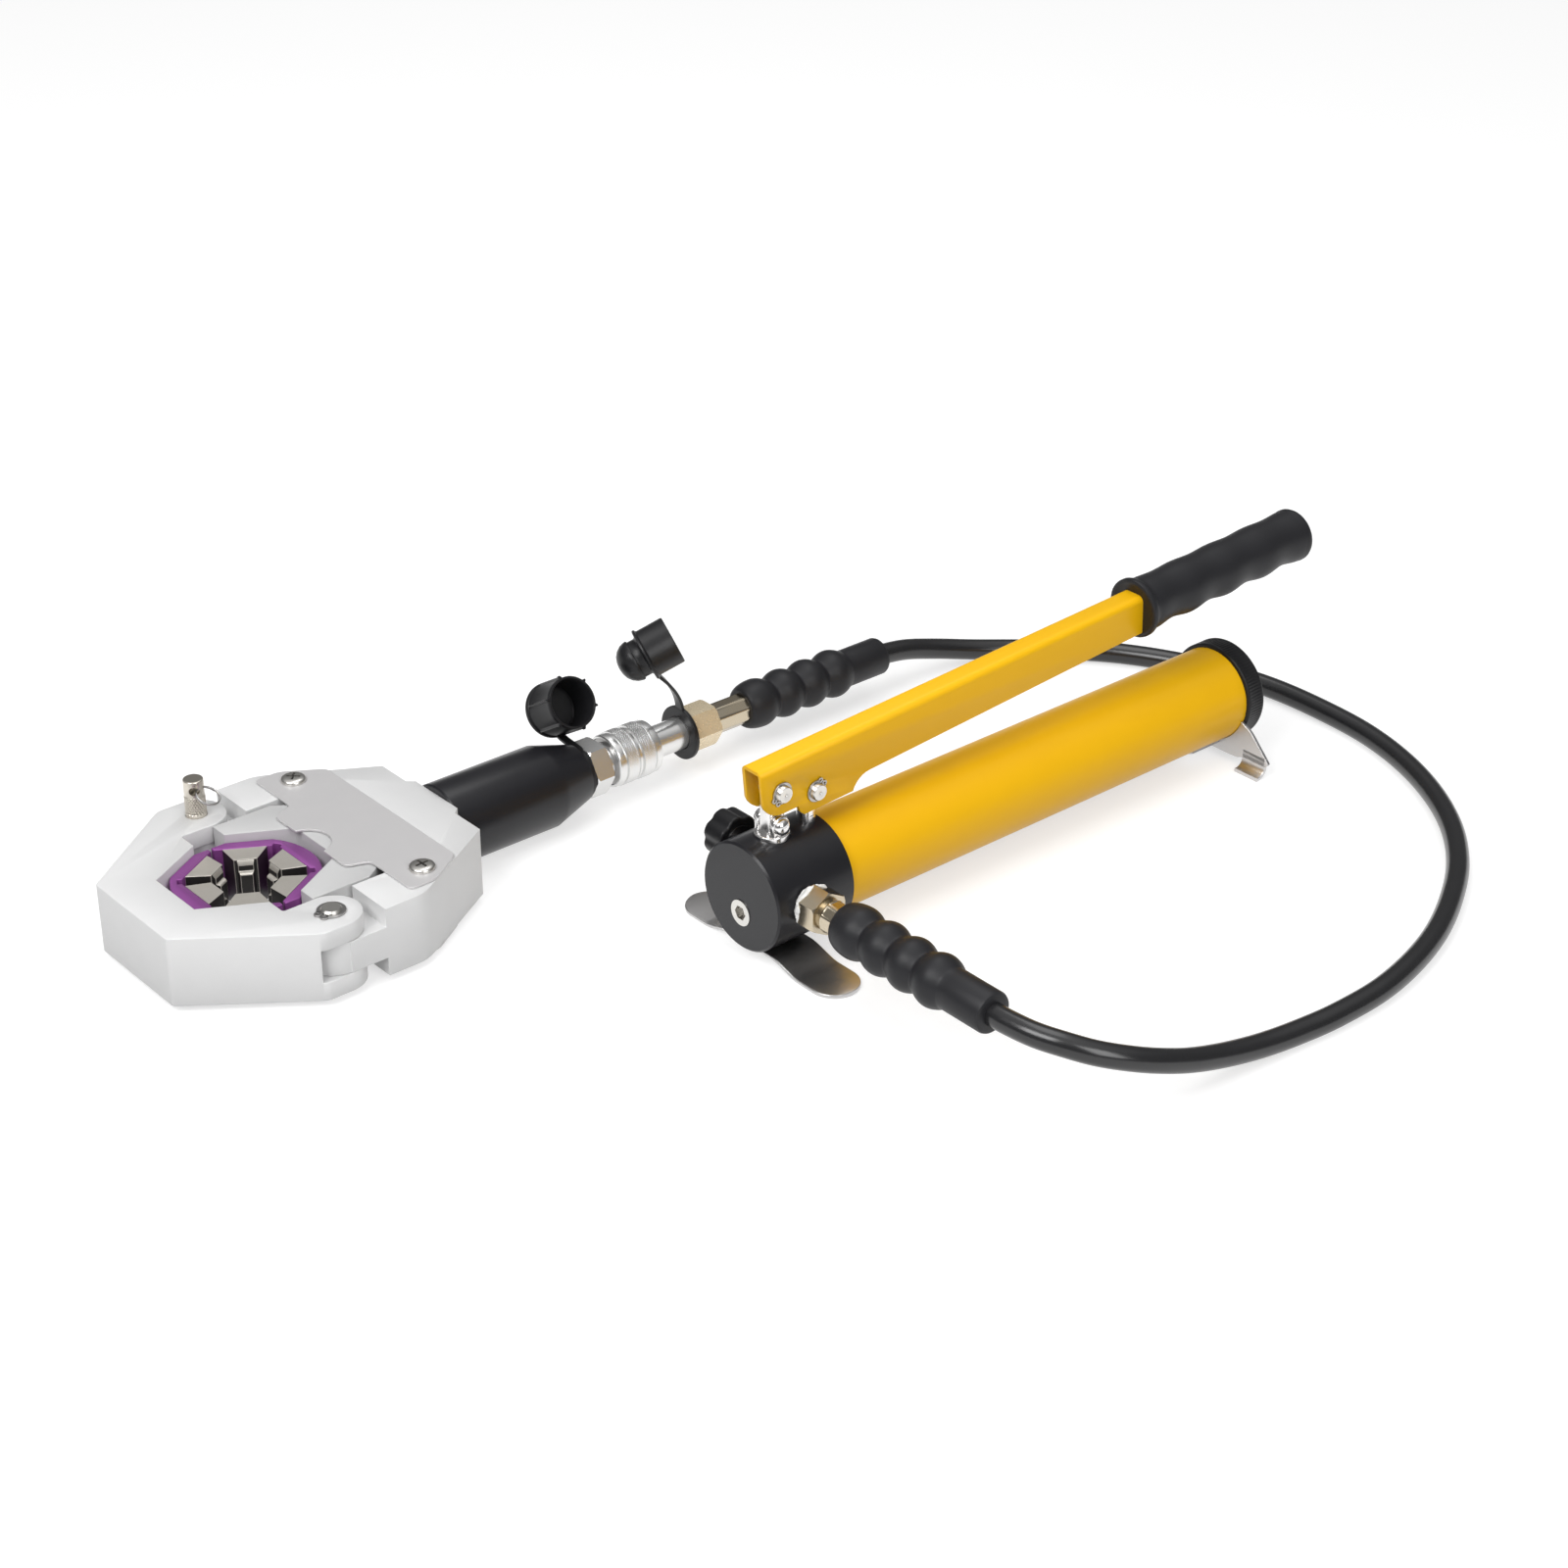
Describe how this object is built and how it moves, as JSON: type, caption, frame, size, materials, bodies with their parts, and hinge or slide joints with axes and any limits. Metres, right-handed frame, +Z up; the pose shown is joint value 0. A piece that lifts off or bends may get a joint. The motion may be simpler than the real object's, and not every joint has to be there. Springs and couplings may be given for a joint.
{
  "type": "hydraulic crimping tool",
  "caption": "Hand-pumped hydraulic hose crimper: lever pump with reservoir tube, hose with quick coupler and a hinged crimping head with purple die halves.",
  "frame": {"origin": "on the floor, under the middle of the box round the pump and the head without the hose", "axes": "+Z up, +Y along both axes from the head's nose to the lever's grip, +X from the head towards the pump's hose fitting"},
  "size_m": [0.5611, 0.7636, 0.1488],
  "materials": {
    "black_anodised": "satin black",
    "yellow_paint": "gloss yellow powder coat",
    "black_plastic": "matt black",
    "seal_rubber": "black",
    "stand_steel": "brushed",
    "fastener_steel": "zinc plated",
    "spring_steel": "plain",
    "pin_chrome": "bright",
    "fitting_zinc": "yellow zinc plated",
    "coupler_chrome": "bright",
    "grip_rubber": "matt black",
    "hose_rubber": "black",
    "cap_rubber": "black",
    "ptfe_tape": "white",
    "head_aluminium": "fine satin",
    "cover_steel": "satin",
    "die_purple": "purple anodised",
    "jaw_steel": "nickel plated"
  },
  "bodies": {
    "base": {"pump_head": "black_anodised", "reservoir_tube": "yellow_paint", "rear_stand": "stand_steel", "rear_stand_screw": "fastener_steel", "front_stand": "stand_steel", "front_stand_screws": "fastener_steel", "relief_plug": "fastener_steel", "relief_spring": "spring_steel", "relief_ball": "spring_steel", "check_balls": "spring_steel", "check_springs": "spring_steel", "suction_tube": "fitting_zinc", "fulcrum_base": "pin_chrome", "fulcrum_base_pin": "pin_chrome", "fulcrum_link": "pin_chrome", "plunger_seal": "seal_rubber", "thread_tape": "ptfe_tape", "pump_fitting": "fitting_zinc", "pump_ferrule": "fitting_zinc", "pump_grip": "hose_rubber", "hose": "hose_rubber", "head_grip": "hose_rubber", "head_ferrule": "fitting_zinc", "head_nut": "fitting_zinc", "coupler_plug": "coupler_chrome", "coupler_socket": "coupler_chrome", "sleeve_spring": "spring_steel", "sleeve_ring": "spring_steel", "coupler_balls": "spring_steel", "cylinder_barrel": "black_anodised", "return_spring": "spring_steel", "head_body": "head_aluminium", "cover_plates": "cover_steel", "cover_screws": "fastener_steel", "hinge_pin": "fastener_steel", "hinge_clips": "spring_steel"},
    "cap": {"reservoir_cap": "black_plastic", "cap_seal": "seal_rubber"},
    "release": {"release_stem": "pin_chrome", "release_knob": "black_plastic"},
    "lever": {"lever": "yellow_paint", "lever_grip": "grip_rubber", "fulcrum_pin": "fastener_steel", "plunger_pin": "fastener_steel", "lever_circlips": "spring_steel"},
    "plunger": {"plunger": "pin_chrome"},
    "ram": {"ram": "head_aluminium", "piston": "pin_chrome", "piston_seal": "seal_rubber", "rear_die_carrier": "die_purple", "rear_die_jaws": "jaw_steel"},
    "yoke": {"head_yoke": "head_aluminium", "front_die_carrier": "die_purple", "front_die_jaws": "jaw_steel"},
    "pull_pin": {"pull_pin": "fastener_steel"},
    "pull_ring": {"pull_ring": "spring_steel"},
    "sleeve": {"coupler_sleeve": "coupler_chrome"},
    "socket_cap": {"socket_cap": "cap_rubber"},
    "plug_cap": {"plug_cap": "cap_rubber"}
  },
  "joints": [
    {"name": "lever_swing", "type": "hinge", "parent": "base", "child": "lever", "pos_m": [0.109, -0.06872, 0.104], "axis": [1, 0, 0], "range_deg": [0, 45]},
    {"name": "plunger_stroke", "type": "slide", "parent": "base", "child": "plunger", "axis": [0, 0, 1], "range_m": [0, 0.0205]},
    {"name": "ram_travel", "type": "slide", "parent": "base", "child": "ram", "axis": [0, -1, 0], "range_m": [-0.02, 0.0012], "deforming": ["return_spring"]},
    {"name": "yoke_swing", "type": "hinge", "parent": "base", "child": "yoke", "pos_m": [-0.0175, -0.28272, 0.0265], "axis": [0, 0, 1], "range_deg": [0, 90]},
    {"name": "pin_lock", "type": "slide", "parent": "yoke", "child": "pull_pin", "axis": [0, 0, 1], "range_m": [-0.009, 0]},
    {"name": "ring_swing", "type": "hinge", "parent": "pull_pin", "child": "pull_ring", "pos_m": [-0.1586, -0.28137, 0.0663], "axis": [0.4226, -0.9063, 0], "range_deg": [0, 28]},
    {"name": "sleeve_pull", "type": "slide", "parent": "base", "child": "sleeve", "axis": [0, -1, 0], "range_m": [0, 0.005], "stiffness_N_per_m": 2500, "springref_m": -0.004, "deforming": ["sleeve_spring"]},
    {"name": "socket_cap_swing", "type": "hinge", "parent": "base", "child": "socket_cap", "pos_m": [-0.0895, -0.05672, 0.0265], "axis": [0, 1, 0], "range_deg": [-40, 60]},
    {"name": "plug_cap_swing", "type": "hinge", "parent": "base", "child": "plug_cap", "pos_m": [-0.0895, 0.02428, 0.0265], "axis": [0, 1, 0], "range_deg": [-60, 60]},
    {"name": "release_turn", "type": "hinge", "parent": "base", "child": "release", "pos_m": [0.064, -0.06372, 0.053], "axis": [-1, 0, 0], "range_deg": [0, 270]},
    {"name": "cap_turn", "type": "hinge", "parent": "base", "child": "cap", "pos_m": [0.109, 0.30728, 0.041], "axis": [0, 1, 0], "continuous": true}
  ],
  "couplings": [
    {"joint": "plunger_stroke", "follows": "lever_swing", "m_per_rad": 0.026}
  ]
}
